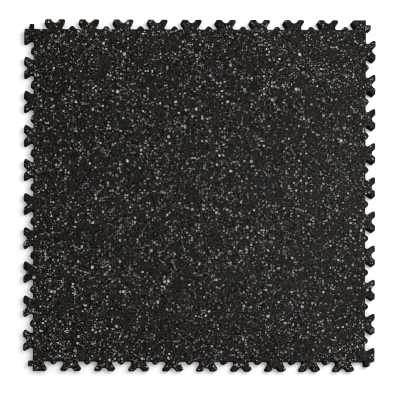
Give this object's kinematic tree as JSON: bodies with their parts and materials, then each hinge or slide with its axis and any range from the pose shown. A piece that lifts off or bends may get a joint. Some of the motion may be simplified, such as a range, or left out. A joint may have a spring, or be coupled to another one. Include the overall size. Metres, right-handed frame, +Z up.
{
  "type": "interlocking pvc floor tile",
  "caption": "Square flat vinyl floor tile, near black with pale flecks, with fishtail teeth and sockets along all sides that key into the next tile.",
  "frame": {"origin": "middle of the underside, on the floor", "axes": "+Z up out of the wear face; +X and +Y each point at one toothed side. North is +Y and east is +X"},
  "size_m": [0.51, 0.51, 0.007],
  "materials": {
    "speckled_vinyl": "near-black satin vinyl, flecked through with small off-white, grey and a few yellow-green chips, with a fine leathery grain"
  },
  "bodies": {
    "root": {"floor_tile": "speckled_vinyl"}
  },
  "joints": []
}
